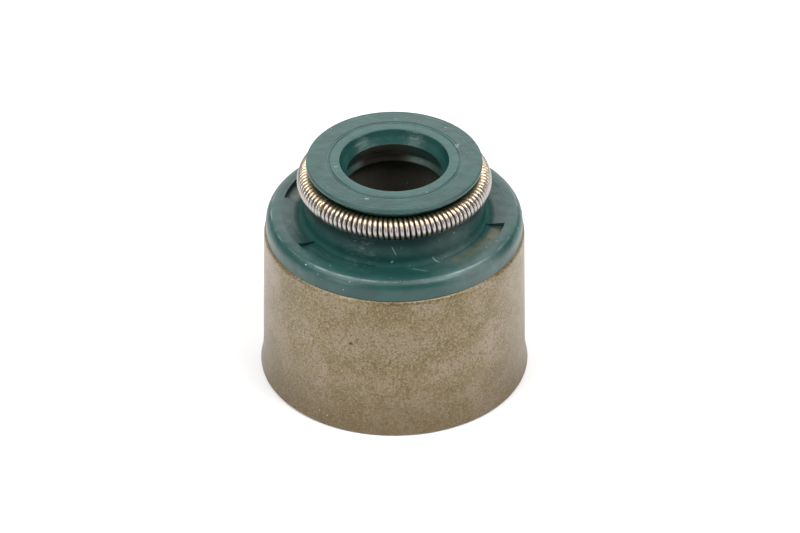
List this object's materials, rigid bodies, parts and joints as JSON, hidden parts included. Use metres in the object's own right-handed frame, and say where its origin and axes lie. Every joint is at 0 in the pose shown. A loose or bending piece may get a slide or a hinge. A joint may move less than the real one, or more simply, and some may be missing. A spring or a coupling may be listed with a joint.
{
  "type": "valve stem seal",
  "caption": "Steel-cased rubber seal with a garter spring under its head, pushed over a valve guide to wipe oil from the valve stem.",
  "frame": {"origin": "centre of the steel case's open edge, on which the seal stands", "axes": "+Z along the valve stem, from the guide towards the lip; the centres of the four pockets lie 55, 145, 235 and 325 degrees from +X about +Z"},
  "size_m": [0.0164, 0.0164, 0.0147],
  "materials": {
    "rubber": "smooth moulded fluoro-rubber, satin, with light dust and scratches",
    "case_steel": "phosphated drawn steel, mottled olive brown, half matte",
    "spring_steel": "bright drawn wire with a warm oil film"
  },
  "bodies": {
    "root": {"rubber_body": "rubber", "metal_case": "case_steel", "garter_spring": "spring_steel"}
  },
  "joints": []
}
